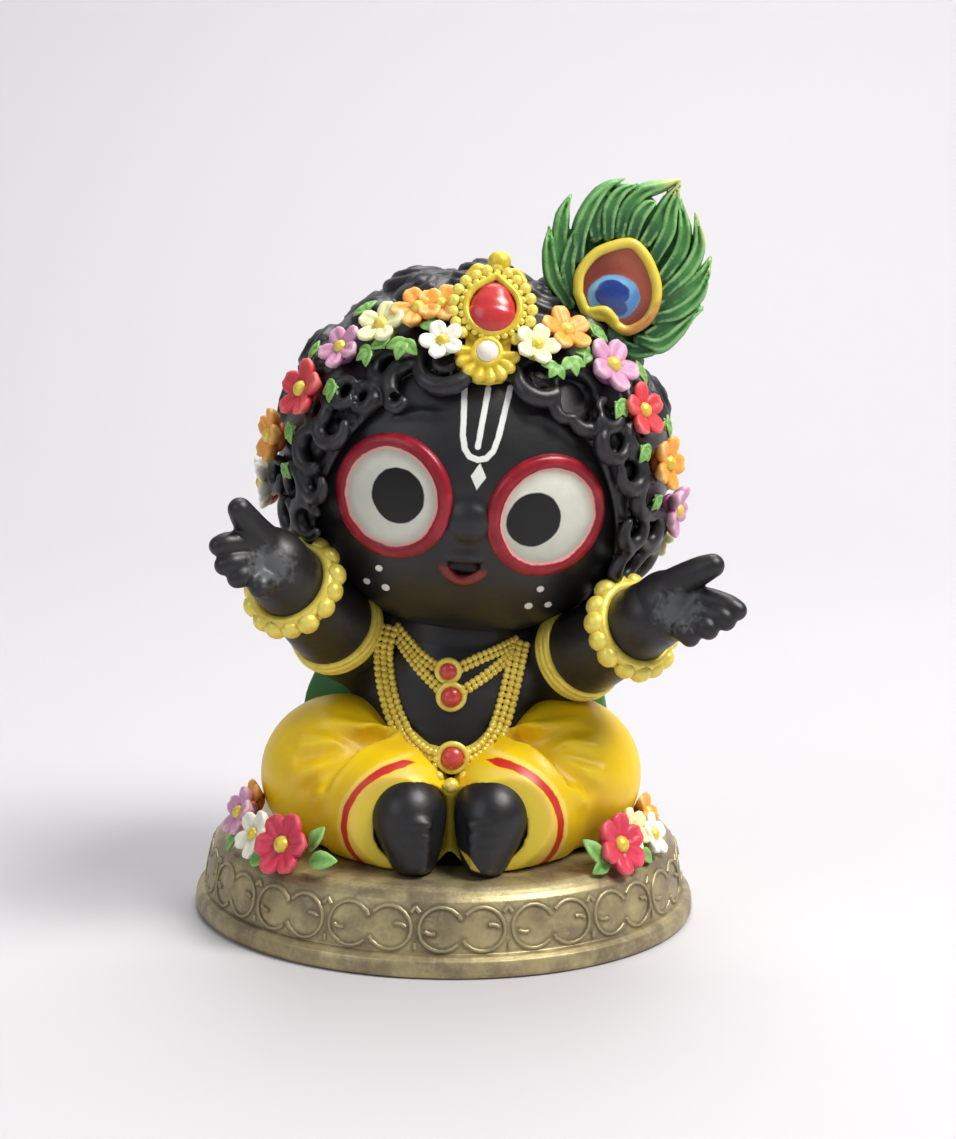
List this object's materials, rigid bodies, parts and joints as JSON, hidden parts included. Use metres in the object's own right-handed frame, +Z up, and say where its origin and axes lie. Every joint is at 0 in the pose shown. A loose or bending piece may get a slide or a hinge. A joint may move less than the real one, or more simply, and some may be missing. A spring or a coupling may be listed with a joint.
{
  "type": "jagannath figure",
  "caption": "Seated baby jagannath figurine with a round face, disc eyes, curled hair, flower garland, crown jewel and feather, on a low round plinth with an ornament band.",
  "frame": {"origin": "centre of the plinth's flat underside", "axes": "+Z up; the figure faces -Y; +X is on the right of someone who faces the figure"},
  "size_m": [0.0633, 0.06, 0.0877],
  "materials": {
    "figure": "painted cast resin: satin black skin and hair with yellow, gold, red, white, green and pink details",
    "plinth": "painted cast resin: antique bronze metallic paint with darker recesses, painted rim flowers"
  },
  "bodies": {
    "root": {"figure": "figure", "plinth": "plinth"}
  },
  "joints": []
}
